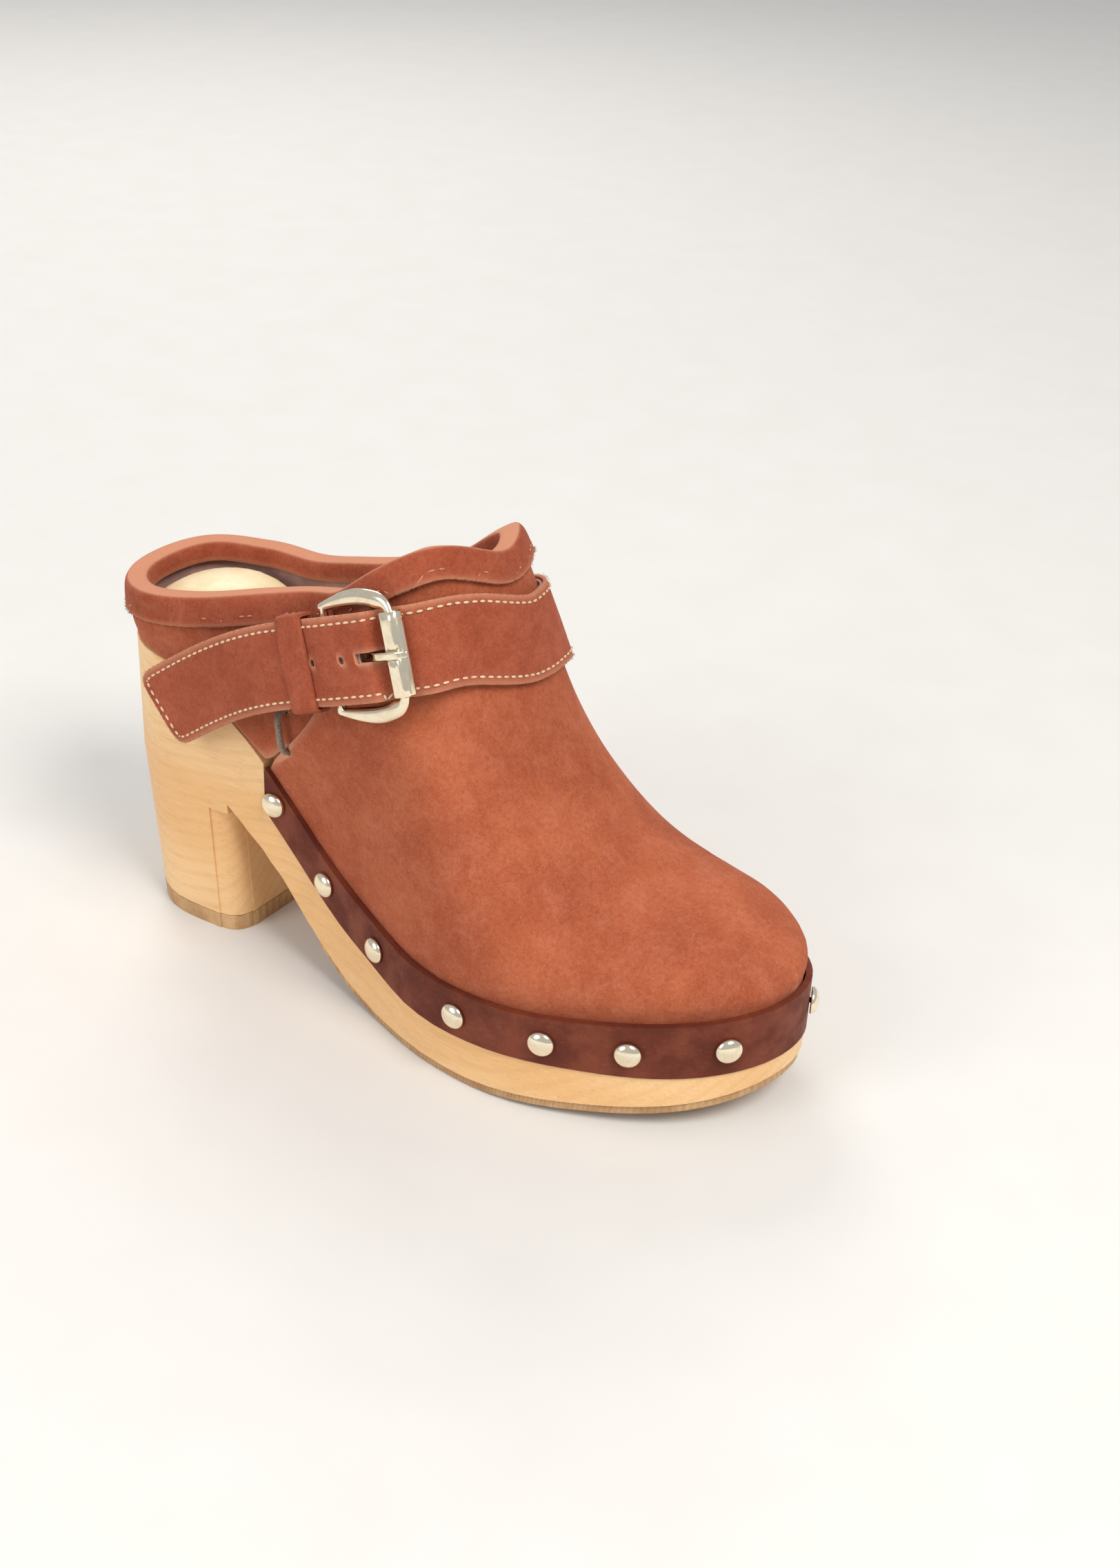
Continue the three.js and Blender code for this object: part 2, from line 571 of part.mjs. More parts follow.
// Beyond the keeper the tail runs on as one even curve, from the plane down to the skin at its end.
const tailStart = keeperStart + keeperWidth + 3;
const tailTip = strapAt(tailEnd - 2);
const tailFrom = new THREE.Vector3(0, tailStart, 0).applyMatrix4(buckleFrame);
const tailTo = onSkin(tailEnd - 2, 0, tailLift);
const tailNormal = lastNormal(tailTip.a, tailTip.phi);
function onTail(l, q, d) {
  const length = tailEnd - 2 - tailStart;
  const t = (l - tailStart) / length;
  const place = tailFrom.clone().multiplyScalar((1 + 2 * t) * (1 - t) ** 2)
    .addScaledVector(along, length * t * (1 - t) ** 2)
    .addScaledVector(tailTo, t * t * (3 - 2 * t))
    .addScaledVector(tailTip.direction, length * t * t * (t - 1));
  const normal = outward.clone().lerp(tailNormal, smooth(0, 1, t)).normalize();
  const direction = along.clone().lerp(tailTip.direction, smooth(0, 1, t));
  const sideways = new THREE.Vector3().crossVectors(direction, normal).normalize();
  return place.addScaledVector(sideways, q).addScaledVector(normal, d);
}

// A place in the strap's own measures: flat in the buckle's plane, and following the skin on the inner side.
function onStrap(l, q, d) {
  if (l > tailStart) return onTail(l, q, d);
  const flat = new THREE.Vector3(q, l, d).applyMatrix4(buckleFrame);
  return onSkin(l, q, d).lerp(flat, smooth(-16, -1, l));
}

// Height of the strap's underside over the skin: under the sleeve, up through the frame over the pivot bar,
// over the keeper's lower wall and down to the tail's end.
const barHeight = barDiameter / 2 + 1.6;
const sleeveHeight = 5.8;
const strapLow = 0.4;
const strapHigh = barHeight + barDiameter / 2 + chapeThickness + 2 * gap;
const strapKeeper = 4.5;
const strapUnder = through([[-150, 0.8], [-30, 0.8], [-10, strapLow], [4.2, strapLow], [10, strapHigh],
  [frameReach - 1, strapHigh], [frameReach + 2, strapHigh - 0.3], [frameReach + 5, strapKeeper],
  [tailStart + 4, strapKeeper], [75, 3], [tailEnd, 1.6]], true);

// A layer of the strap, between two heights over its underside.
function strapLayer(low, high, inset) {
  const radius = 5;
  const [from, to] = [innerEnd + 1 + inset, tailEnd - 1 - inset];
  const ends = steps(0, 1, 3).map((t) => radius * (1 - Math.cos((t * Math.PI) / 2)));
  const middle = [...steps(from + radius + 5, -77, 7), ...steps(-70, -22, 8), ...steps(-16, 4, 4), ...steps(5.8, 10, 3),
    16, 22, frameReach - 1, frameReach + 2, frameReach + 5, 40, tailStart, ...steps(tailStart + 6, to - radius - 4, 6)];
  const rows = [...ends.map((e) => from + e), ...middle, ...ends.reverse().map((e) => to - e)];
  const grid = (height) => rows.map((l) => {
    const e = Math.min(radius, l - from, to - l);
    const half = strapWidth / 2 - inset - radius + Math.sqrt(Math.max(0, radius ** 2 - (radius - e) ** 2));
    return steps(-half, half, 4).map((q) => onStrap(l, q, strapUnder(l) + height));
  });
  return sheet(grid(high), grid(low));
}

// Solids made in the buckle's plane, x across the strap, y along it and z outward.
const inPlane = (geometry) => toSolid(geometry.applyMatrix4(buckleFrame));
const block = (x0, x1, y0, y1, z0, z1) =>
  inPlane(new THREE.BoxGeometry(x1 - x0, y1 - y0, z1 - z0).translate((x0 + x1) / 2, (y0 + y1) / 2, (z0 + z1) / 2));
// A shape of [y, z] points, extruded from x0 to x1.
function sideways(points, x0, x1) {
  const shape = new THREE.Shape(points.map(([y, z]) => new THREE.Vector2(y, z)));
  const geometry = new THREE.ExtrudeGeometry(shape, { depth: x1 - x0, bevelEnabled: false, curveSegments: 12 });
  const [x, y, z] = [new THREE.Vector3(1, 0, 0), new THREE.Vector3(0, 1, 0), new THREE.Vector3(0, 0, 1)];
  return inPlane(geometry.applyMatrix4(new THREE.Matrix4().makeBasis(y, z, x)).translate(x0, 0, 0));
}

const slotWidth = 3;
const holes = [1, 2].map((k) => holePitch * k + 7.5);
const holeCutters = [block(-slotWidth / 2, slotWidth / 2, 4.4, 14.2, -1, 12), ...holes.map((y) =>
  inPlane(new THREE.CylinderGeometry(holeDiameter / 2, holeDiameter / 2, 14, 10).rotateX(Math.PI / 2).translate(0, y, 6)))];
const strap = () => cut(strapLayer(strapBacking + gap, strapBacking + gap + strapThickness, 0), ...holeCutters);
const strapBack = () => cut(strapLayer(0, strapBacking, 0.6), ...holeCutters);

// The horseshoe frame with its pivot bar, flat in the buckle's plane and tilted down to the bar.
function buckle() {
  const tall = frameHeight / 2 - frameBar / 2;
  const hip = strapWidth / 2 + 2.1;
  const curve = new THREE.CatmullRomCurve3([[hip + 0.3, frameReach + 1.2], [tall - 0.4, 0.72 * frameReach],
    [tall, 0.43 * frameReach], [tall - 1, 5.6], [hip - 0.2, 1.6], [hip - 2.4, 0], [6, 0]]
    .map(([x, y]) => new THREE.Vector3(x, y, 0)));
  const half = curve.getSpacedPoints(15);
  const line = [...half, ...half.slice().reverse().map((p) => new THREE.Vector3(-p.x, p.y, 0))];
  const level = (y) => lerp(sleeveHeight, barHeight, y / frameReach);
  const wide = through([[0, 3.2], [4, frameBar], [12, frameBar + 0.4], [22, frameBar - 0.8], [30, 2.4]], true);
  const rings = [1, -1].map((face) => line.map((p, i) => {
    const tangent = line[Math.min(i + 1, line.length - 1)].clone().sub(line[Math.max(i - 1, 0)]).normalize();
    const side = new THREE.Vector3(-tangent.y, tangent.x, 0);
    const [w, t] = [wide(p.y) / 2, lerp(1.2, 2 - 0.02 * p.y, smooth(0, 6, p.y))];
    return steps(0, Math.PI, 4).map((angle) => p.clone().addScaledVector(side, w * Math.cos(angle))
      .setZ(level(p.y) + face * t * Math.sin(angle)).applyMatrix4(buckleFrame));
  }));
  const bar = new THREE.CylinderGeometry(barDiameter / 2, barDiameter / 2, 2 * hip + 0.4, 12)
    .rotateZ(Math.PI / 2).translate(0, frameReach, barHeight);
  return sheet(rings[0], rings[1]).add(inPlane(bar));
}

function sleeve() {
  const [w, h] = [sleeveWidth / 2, sleeveDepth / 2];
  const outer = [[-w, -h + 1], [-w + 1, -h], [w - 1, -h], [w, -h + 1], [w, h - 1.4], [w - 1.6, h], [-w + 1.6, h],
    [-w, h - 1.4]].map(([y, z]) => [y, sleeveHeight + z]);
  const length = strapWidth - 1.6;
  const tunnel = block(-length, length, -2.1, 2.1, sleeveHeight - 1.5, sleeveHeight + 1.5);
  const notch = block(-1.5, 1.5, -w - 1, w + 1, sleeveHeight + h - 0.7, sleeveHeight + h + 1);
  return cut(sideways(outer, -length / 2, length / 2), tunnel, notch);
}

function prong() {
  const rest = sleeveHeight + sleeveDepth / 2 - 0.7 + gap;
  const under = [[26.5, 2.1], [18, 2.3], [12, 2.8], [8.5, 4.9], [5, rest - 0.3], [3.5, rest], [-3.5, rest], [-5, rest - 0.8]];
  const over = [[-5.6, rest - 0.2], [-4, rest + 1.2], [3.5, rest + 1.6], [6, rest + 1.3], [9.5, 6.5], [13, 4.2], [18, 3.8],
    [26.5, 3.7]];
  const shank = sideways([...under, ...over], -1.1, 1.1);
  const turns = steps(0, 2 * Math.PI, 14).slice(0, -1);
  const ring = turns.map((t) => [frameReach + 2.4 * Math.cos(t), barHeight + 2.4 * Math.sin(t)]);
  const eye = sideways(ring, -1.1, 1.1);
  const bore = new THREE.CylinderGeometry(barDiameter / 2 + gap, barDiameter / 2 + gap, 6, 12)
    .rotateZ(Math.PI / 2).translate(0, frameReach, barHeight);
  return cut(shank.add(eye), inPlane(bore));
}

// The folded tab that holds the pivot bar, with a slot for the prong's eye.
function chape() {
  const radius = barDiameter / 2 + gap + chapeThickness / 2;
  const bend = steps(-Math.PI / 2, Math.PI / 2, 8).map((t) =>
    [frameReach - radius * Math.cos(t), barHeight + radius * Math.sin(t)]);
  const open = keeperStart + keeperWidth + keeperTravel + 1;
  const line = [[open + 12, 0.95], [open + 1, 0.85], [36, barHeight - radius], ...bend, [31, 4.6], [33.2, 3.6],
    [open, 3.6], [open + 3.5, 2.6], [open + 11, 2.5]];
  const shift = (side) => line.map(([l, d], i) => {
    const [m, n] = [line[Math.max(i - 1, 0)], line[Math.min(i + 1, line.length - 1)]];
    const size = Math.hypot(n[0] - m[0], n[1] - m[1]);
    const [y, z] = [-(n[1] - m[1]) / size, (n[0] - m[0]) / size];
    return [-chapeWidth / 2, 0, chapeWidth / 2].map((q) =>
      onStrap(l + (side * y * chapeThickness) / 2, q, d + (side * z * chapeThickness) / 2));
  });
  return cut(sheet(shift(1), shift(-1)), block(-1.5, 1.5, frameReach - 4, frameReach + 4, -1, 8));
}

function keeper() {
  const low = 1.6;
  const high = strapKeeper + strapBacking + strapThickness + 2 * gap;
  const half = strapWidth / 2 + 0.6;
  const wall = keeperThickness;
  const loop = (x, z0, z1, radius) => {
    const path = new THREE.Path();
    path.moveTo(-x + radius, z0).lineTo(x - radius, z0).quadraticCurveTo(x, z0, x, z0 + radius);
    path.lineTo(x, z1 - radius).quadraticCurveTo(x, z1, x - radius, z1).lineTo(-x + radius, z1);
    return path.quadraticCurveTo(-x, z1, -x, z1 - radius).lineTo(-x, z0 + radius)
      .quadraticCurveTo(-x, z0, -x + radius, z0).getPoints(3);
  };
  const shape = new THREE.Shape(loop(half + wall, low, high + wall, 2));
  shape.holes.push(new THREE.Path(loop(half, low + wall, high, 0.8)));
  const geometry = new THREE.ExtrudeGeometry(shape, { depth: keeperWidth, bevelEnabled: false });
  return inPlane(geometry.rotateX(Math.PI / 2).translate(0, keeperStart + keeperWidth, 0));
}

// ---------- studs and stitches ----------

const studPlaces = [0.287, 0.38, 0.487, 0.638, 0.76, 0.86, 0.958];
const studAngles = [...studPlaces.map(walkAngle), Math.PI + 0.2, ...[0.287, 0.375, 0.47, 0.6, 0.73, 0.845, 0.935]
  .map((s) => -walkAngle(s))];

function outwardAt(a, z, out) {
  const place = beside(wrap(a), out, z);
  const turn = new THREE.Quaternion().setFromUnitVectors(new THREE.Vector3(0, 1, 0), outlineNormal(a));
  return new THREE.Matrix4().compose(place, turn, new THREE.Vector3(1, 1, 1));
}
const studHeight = (s) => randLow(s) + 0.47 * (crease(s) - randLow(s));
const studMatrix = (a) => outwardAt(a, studHeight(lengthShare(wrap(a))), randOuter + gap);
const nailHoles = studAngles.map((a) => toSolid(new THREE.CylinderGeometry(shankDiameter / 2 + 0.45,
  shankDiameter / 2 + 0.45, shankLength + 4, 6).translate(0, -shankLength / 2 + 1.5, 0).applyMatrix4(studMatrix(a))));

function stud(a) {
  const dome = steps(0, 1, 3).map((t) => new THREE.Vector2((studDiameter / 2) * Math.sin((t * Math.PI) / 2),
    0.5 + (studDome - 0.5) * Math.cos((t * Math.PI) / 2)));
  dome[0].x = 0;
  const shank = [[studDiameter / 2 - 0.3, 0], [shankDiameter / 2, 0], [shankDiameter / 2, 2 - shankLength], [0, -shankLength]]
    .map(([x, y]) => new THREE.Vector2(x, y));
  return toSolid(new THREE.LatheGeometry([...dome, ...shank], 12).applyMatrix4(studMatrix(a)));
}

// A stitch of waxed cord over the vamp's lower back corner: one leg in the quarter and one in the vamp.
const tackEnds = [[0.312, 0.2], [0.322, 0.135]];
function tackCord(radius) {
  const at = (t, distance) => {
    const [s, phi] = [0, 1].map((k) => lerp(tackEnds[0][k], tackEnds[1][k], t));
    return upper(walkAngle(s), phi, distance);
  };
  const [high, low] = [tackEnds[0], tackEnds[1]].map(([s, phi]) => upperOut + lap(s, phi) + gap + tackDiameter / 2);
  const path = new THREE.CatmullRomCurve3([at(0, liningIn - 2), at(0, -0.5), at(0.02, high - 0.6), at(0.12, high + 0.1),
    at(0.5, (high + low) / 2 + 0.4), at(0.88, low + 0.1), at(0.98, low - 0.6), at(1, -0.5), at(1, liningIn - 2)]);
  const shape = new THREE.Shape(steps(0, 2 * Math.PI, 8).slice(0, -1)
    .map((t) => new THREE.Vector2(radius * Math.cos(t), radius * Math.sin(t))));
  return toSolid(new THREE.ExtrudeGeometry(shape, { steps: 18, extrudePath: path }));
}
const tackHole = tackCord(tackDiameter / 2 + gap);

// ---------- the whole shoe ----------

const root = new THREE.Group();
function add(name, solid, color, roughness, metalness = 0) {
  const mesh = new THREE.Mesh(toGeometry(solid), new THREE.MeshStandardMaterial({ color, roughness, metalness }));
  mesh.name = name;
  root.add(mesh);
}
const woodColour = 0xdcae78;
const rubberColour = 0xb48a5c;
const suedeColour = 0xa9573c;
const strapColour = 0x96482f;
const randColour = 0x6b2f1b;
const liningColour = 0xa58379;
const creamColour = 0xeadcb8;
const brassColour = 0xd9c8a4;

add("wooden_sole", cut(woodenSole(), ...nailHoles), woodColour, 0.55);
add("forepart_outsole", forepartOutsole(), rubberColour, 0.6);
add("heel_top_piece", heelTop(), rubberColour, 0.6);
add("footbed", bedPlate(gap, gap + footbed, 1.2), creamColour, 0.9);
add("footbed_sock", bedPlate(2 * gap + footbed, 2 * gap + footbed + sock, 3.4), creamColour, 0.75);
add("vamp", cut(vamp(), ...nailHoles, tackHole), suedeColour, 0.95);
add("vamp_lining", cut(vampLining(), ...nailHoles, tackHole), liningColour, 0.85);
add("quarter", cut(quarter(), tackHole), suedeColour, 0.95);
add("quarter_lining", cut(quarterLining(), tackHole), liningColour, 0.85);
add("topline_binding", binding(), strapColour, 0.9);
add("rand", cut(rand(), ...nailHoles), randColour, 0.65);
add("strap", strap(), strapColour, 0.93);
add("strap_backing", strapBack(), liningColour, 0.85);
add("keeper_loop", keeper(), strapColour, 0.9);
add("buckle_frame", buckle(), brassColour, 0.25, 1);
add("buckle_sleeve", sleeve(), brassColour, 0.25, 1);
add("buckle_prong", prong(), brassColour, 0.25, 1);
add("buckle_chape", chape(), strapColour, 0.9);
add("corner_tack", tackCord(tackDiameter / 2), 0x7d6a58, 0.7);
studAngles.forEach((a, i) => add(`stud_${String(i + 1).padStart(2, "0")}`, stud(a), brassColour, 0.28, 1));

// The origin is the middle of the shoe's footprint, on the ground.
const bounds = new THREE.Box3().setFromObject(root);
root.position.set(-(bounds.min.x + bounds.max.x) / 2, -(bounds.min.y + bounds.max.y) / 2, -bounds.min.z);

export default root;
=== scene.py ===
import math
import random

import bmesh
import bpy
from mathutils import Matrix, Vector
from mathutils.bvhtree import BVHTree


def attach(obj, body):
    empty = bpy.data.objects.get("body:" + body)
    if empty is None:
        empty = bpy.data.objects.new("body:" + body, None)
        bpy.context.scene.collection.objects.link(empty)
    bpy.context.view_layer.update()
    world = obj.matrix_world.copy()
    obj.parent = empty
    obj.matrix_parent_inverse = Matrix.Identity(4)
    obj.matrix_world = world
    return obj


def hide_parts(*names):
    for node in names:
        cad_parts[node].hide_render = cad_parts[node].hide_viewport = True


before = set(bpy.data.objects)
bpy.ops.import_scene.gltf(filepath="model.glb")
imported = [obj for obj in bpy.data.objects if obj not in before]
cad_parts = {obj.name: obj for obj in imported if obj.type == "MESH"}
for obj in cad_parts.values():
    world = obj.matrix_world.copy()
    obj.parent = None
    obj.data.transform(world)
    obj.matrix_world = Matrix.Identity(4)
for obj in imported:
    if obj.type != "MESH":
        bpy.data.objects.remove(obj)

# A right-foot suede clog on a carved wooden sole. Metres, +Z up, the toe points to -Y.
random.seed(11)
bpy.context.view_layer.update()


def linear(hexColour):  # a hex colour as linear rgba
    parts = [int(hexColour[k:k + 2], 16) / 255 for k in (0, 2, 4)]
    return tuple(p / 12.92 if p < 0.04045 else ((p + 0.055) / 1.055) ** 2.4 for p in parts) + (1.0,)


# Camera, light and floor.

def aimCamera():
    view = {"place": (-0.47104, -0.34390, 0.41649), "yaw": 0.998, "pitch": 0.528, "roll": 0.048,
            "lens": 47.86}
    yaw, pitch, roll = view["yaw"], view["pitch"], view["roll"]
    ahead = Vector((math.sin(yaw) * math.cos(pitch), math.cos(yaw) * math.cos(pitch), -math.sin(pitch)))
    right = ahead.cross(Vector((0, 0, 1))).normalized()
    up = right.cross(ahead)
    tiltedRight = right * math.cos(roll) + up * math.sin(roll)
    tiltedUp = up * math.cos(roll) - right * math.sin(roll)
    data = bpy.data.cameras.new("camera")
    data.sensor_fit, data.sensor_height, data.lens = "VERTICAL", 36, view["lens"]
    data.clip_start, data.clip_end = 0.02, 60
    camera = bpy.data.objects.new("camera", data)
    bpy.context.scene.collection.objects.link(camera)
    turn = Matrix((tiltedRight, tiltedUp, -ahead)).transposed().to_4x4()
    camera.matrix_world = Matrix.Translation(view["place"]) @ turn
    bpy.context.scene.camera = camera


def softLight(name, place, size, watts, colour):
    data = bpy.data.lights.new(name, "AREA")
    data.shape, data.size, data.energy, data.color = "DISK", size, watts, colour
    lamp = bpy.data.objects.new(name, data)
    bpy.context.scene.collection.objects.link(lamp)
    lamp.location = place
    lamp.rotation_euler = (Vector((0, 0, 0.06)) - Vector(place)).to_track_quat("-Z", "Y").to_euler()


def lightStudio():
    lamps = {"key": ((-0.35, -1.0, 1.35), 0.75, 21, (1.0, 0.97, 0.93)),
             "side": ((-1.5, 0.5, 0.9), 1.1, 12, (0.95, 0.98, 1.0)),
             "back": ((0.9, 1.1, 1.2), 1.0, 12, (1.0, 0.98, 0.95))}
    for name, (place, size, watts, colour) in lamps.items():
        softLight(name, place, size, watts, colour)
    world = bpy.data.worlds.new("studio")
    world.use_nodes = True
    background = world.node_tree.nodes["Background"]
    background.inputs["Color"].default_value = (0.93, 0.95, 1.0, 1)
    background.inputs["Strength"].default_value = 0.55
    bpy.context.scene.world = world
    bpy.context.scene.view_settings.view_transform = "Standard"


# Materials.

class Wire:  # one output of a node, ready for sums
    def __init__(self, maker, socket):
        self.maker, self.socket = maker, socket

    def sum(self, operation, other, turned=False):
        pair = (other, self) if turned else (self, other)
        return self.maker.node("ShaderNodeMath", {"operation": operation}, {0: pair[0], 1: pair[1]})

    def __add__(self, other): return self.sum("ADD", other)
    def __radd__(self, other): return self.sum("ADD", other)
    def __sub__(self, other): return self.sum("SUBTRACT", other)
    def __rsub__(self, other): return self.sum("SUBTRACT", other, True)
    def __mul__(self, other): return self.sum("MULTIPLY", other)
    def __rmul__(self, other): return self.sum("MULTIPLY", other)
    def __pow__(self, other): return self.sum("POWER", other)


class Finish:  # one material and the nodes it is made from
    def __init__(self, name, **fixed):
        self.material = bpy.data.materials.new(name)
        self.material.use_nodes = True
        self.tree = self.material.node_tree
        self.shader = self.tree.nodes["Principled BSDF"]
        for socket, value in fixed.items():
            self.shader.inputs[socket.replace("_", " ")].default_value = value
        self.place = self.node("ShaderNodeTexCoord", out="Object")

    def node(self, kind, settings=None, sockets=None, out=0):
        made = self.tree.nodes.new(kind)
        for key, value in (settings or {}).items():
            setattr(made, key, value)
        for key, value in (sockets or {}).items():
            if isinstance(value, Wire):
                self.tree.links.new(value.socket, made.inputs[key])
            else:
                made.inputs[key].default_value = value
        return Wire(self, made.outputs[out])

    def stretched(self, x, y, z, turn=(0, 0, 0)):
        sockets = {"Vector": self.place, "Scale": (x, y, z), "Rotation": turn}
        return self.node("ShaderNodeMapping", {}, sockets)

    def noise(self, scale, detail=3.0, rough=0.55, vector=None, bend=0.0):
        sockets = {"Vector": vector or self.place, "Scale": scale, "Detail": detail, "Roughness": rough,
                   "Distortion": bend}
        return self.node("ShaderNodeTexNoise", {}, sockets, "Fac")

    def between(self, wire, low, high, toLow=0.0, toHigh=1.0):
        return self.node("ShaderNodeMapRange", {"interpolation_type": "SMOOTHSTEP"},
                         {0: wire, 1: low, 2: high, 3: toLow, 4: toHigh})

    def mixed(self, share, first, second, how="MIX"):
        settings = {"data_type": "RGBA", "blend_type": how}
        return self.node("ShaderNodeMix", settings, {0: share, 6: first, 7: second}, 2)

    def edgeWear(self, sharpness):  # 1 on a cut edge, falling to 0 just inside it
        return self.node("ShaderNodeAttribute", {"attribute_name": "cutEdge"}, out="Fac") ** sharpness

    def feed(self, colour=None, rough=None, bumps=()):
        if colour is not None:
            self.tree.links.new(colour.socket, self.shader.inputs["Base Color"])
        if rough is not None:
            self.tree.links.new(rough.socket, self.shader.inputs["Roughness"])
        normal = None
        for height, strength, depth in bumps:
            sockets = {"Height": height, "Strength": strength, "Distance": depth}
            if normal:
                sockets["Normal"] = normal
            normal = self.node("ShaderNodeBump", {}, sockets)
        if normal:
            self.tree.links.new(normal.socket, self.shader.inputs["Normal"])
        return self.material


def suede(name, deep, main, pale, raw, nap=1.0):
    f = Finish(name, Roughness=0.95, Sheen_Weight=0.22, Sheen_Roughness=0.45, Sheen_Tint=linear("d99a7c"),
               Specular_IOR_Level=0.18)
    clouds = f.between(f.noise(26, 3, 0.55, bend=0.3), 0.3, 0.72)
    brushed = f.between(f.noise(110, 4, 0.65, bend=0.8), 0.38, 0.72)
    fibres = f.noise(2300, 2, 0.7)
    tufts = f.noise(700, 3, 0.65)
    colour = f.mixed(clouds * 0.6 + 0.25, linear(deep), linear(main))
    colour = f.mixed(brushed * 0.22, colour, linear(pale))
    colour = f.mixed(f.between(tufts, 0.34, 0.6, 0.2, 0.0), colour, linear(deep), "MULTIPLY")
    colour = f.mixed(f.between(fibres, 0.52, 0.74, 0.0, 0.4 * nap), colour, linear(pale))
    colour = f.mixed(f.between(fibres, 0.24, 0.46, 0.4 * nap, 0.0), colour, linear(deep))
    colour = f.mixed(f.edgeWear(5) * 0.75, colour, linear(raw))
    rough = f.between(brushed, 0.0, 1.0, 0.98, 0.88)
    return f.feed(colour, rough, [(tufts, 0.3 * nap, 0.0005), (fibres, 0.5 * nap, 0.0003)])


def smoothLeather(name, deep, main, raw, gloss=0.6):
    f = Finish(name, Roughness=gloss, Specular_IOR_Level=0.35)
    clouds = f.between(f.noise(60, 4, 0.6), 0.35, 0.68)
    grain = f.noise(1500, 3, 0.6)
    scuffs = f.between(f.noise(240, 3, 0.8, f.stretched(1, 1, 3)), 0.55, 0.75)
    colour = f.mixed(clouds, linear(deep), linear(main))
    colour = f.mixed(scuffs * 0.35, colour, linear(raw))
    colour = f.mixed(f.between(grain, 0.3, 0.5, 0.4, 0.0), colour, linear(deep))
    colour = f.mixed(f.edgeWear(5) * 0.8, colour, linear(raw))
    rough = f.between(clouds, 0.0, 1.0, gloss + 0.12, gloss - 0.06)
    return f.feed(colour, rough, [(grain, 0.35, 0.0003), (scuffs, 0.2, 0.0003)])


def carvedWood():
    f = Finish("carvedWood", Roughness=0.5, Specular_IOR_Level=0.4, Coat_Weight=0.12, Coat_Roughness=0.35)
    bent = f.noise(7, 3, 0.5, f.stretched(1, 0.35, 1))
    pith = {"x": 0.09, "z": -0.11, "lean": (0.05, 0.09, 0.12)}
    leaning = f.stretched(1, 1, 1, pith["lean"])
    across = (f.node("ShaderNodeSeparateXYZ", {}, {0: leaning}, "X") - pith["x"]) ** 2
    height = (f.node("ShaderNodeSeparateXYZ", {}, {0: leaning}, "Z") - pith["z"]) ** 2
    rings = ((across + height) ** 0.5) * 1500 + bent * 26
    ring = f.node("ShaderNodeMath", {"operation": "SINE"}, {0: rings})
    fibres = f.noise(1, 4, 0.65, f.stretched(1100, 34, 1100))
    pores = f.between(f.noise(1, 2, 0.5, f.stretched(1900, 150, 1900)), 0.62, 0.72)
    patches = f.between(f.noise(22, 3, 0.5, f.stretched(1, 0.3, 1)), 0.3, 0.7)
    colour = f.mixed(patches, linear("e0ae74"), linear("edc793"))
    colour = f.mixed(f.between(ring, 0.1, 1.0, 0.0, 0.16), colour, linear("c9945a"))
    colour = f.mixed(f.between(fibres, 0.5, 0.7, 0.0, 0.2), colour, linear("c9965f"))
    colour = f.mixed(f.between(fibres, 0.28, 0.45, 0.2, 0.0), colour, linear("f6dcb0"))
    colour = f.mixed(pores * 0.25, colour, linear("a5733f"))
    rough = f.between(fibres, 0.3, 0.7, 0.42, 0.58)
    return f.feed(colour, rough, [(fibres, 0.12, 0.0003), (pores, 0.2, 0.0002)])


def tanRubber():
    f = Finish("tanRubber", Roughness=0.6, Specular_IOR_Level=0.4, Subsurface_Weight=0.08,
               Subsurface_Radius=(0.004, 0.002, 0.001))
    x = f.node("ShaderNodeSeparateXYZ", {}, {0: f.place}, "X")
    y = f.node("ShaderNodeSeparateXYZ", {}, {0: f.place}, "Y")
    around = f.node("ShaderNodeMath", {"operation": "ARCTAN2"}, {0: x, 1: y + 0.045})
    ribs = f.node("ShaderNodeMath", {"operation": "SINE"}, {0: around * 210})
    specks = f.noise(900, 3, 0.7)
    clouds = f.noise(80, 3, 0.6)
    colour = f.mixed(f.between(clouds, 0.3, 0.7), linear("b0865a"), linear("cba477"))
    colour = f.mixed(f.between(specks, 0.55, 0.75, 0, 0.5), colour, linear("7d5530"))
    colour = f.mixed(f.between(ribs, 0.2, 1.0, 0, 0.25), colour, linear("8a6238"))
    rough = f.between(specks, 0.3, 0.7, 0.5, 0.72)
    return f.feed(colour, rough, [(ribs, 0.55, 0.0004), (specks, 0.25, 0.0002)])


def paleGold():
    f = Finish("paleGold", Metallic=1.0, Roughness=0.2)
    smudges = f.between(f.noise(240, 4, 0.65, bend=0.6), 0.42, 0.7)
    scratches = f.noise(1, 3, 0.7, f.stretched(2600, 260, 700, (0.3, 0.5, 0.9)))
    colour = f.mixed(smudges * 0.4, linear("f6ead0"), linear("dccaa2"))
    colour = f.mixed(f.between(scratches, 0.62, 0.74, 0.0, 0.25), colour, linear("8d7a58"))
    rough = f.between(smudges, 0.0, 1.0, 0.13, 0.27)
    return f.feed(colour, rough, [(scratches, 0.04, 0.0001)])


def twistedThread(name, pale, deep):
    f = Finish(name, Roughness=0.75, Sheen_Weight=0.15)
    twist = f.noise(4200, 2, 0.5)
    colour = f.mixed(f.between(twist, 0.35, 0.6), linear(deep), linear(pale))
    return f.feed(colour, None, [(twist, 0.5, 0.0002)])


# Making pieces from the fixed frame.

def shown(name, bm, material, body, stands=()):
    mesh = bpy.data.meshes.new(name)
    bm.to_mesh(mesh)
    bm.free()
    mesh.materials.append(material)
    for face in mesh.polygons:
        face.use_smooth = True
    piece = bpy.data.objects.new(name, mesh)
    bpy.context.scene.collection.objects.link(piece)
    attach(piece, body)
    for node in stands:
        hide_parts(node)
    return piece


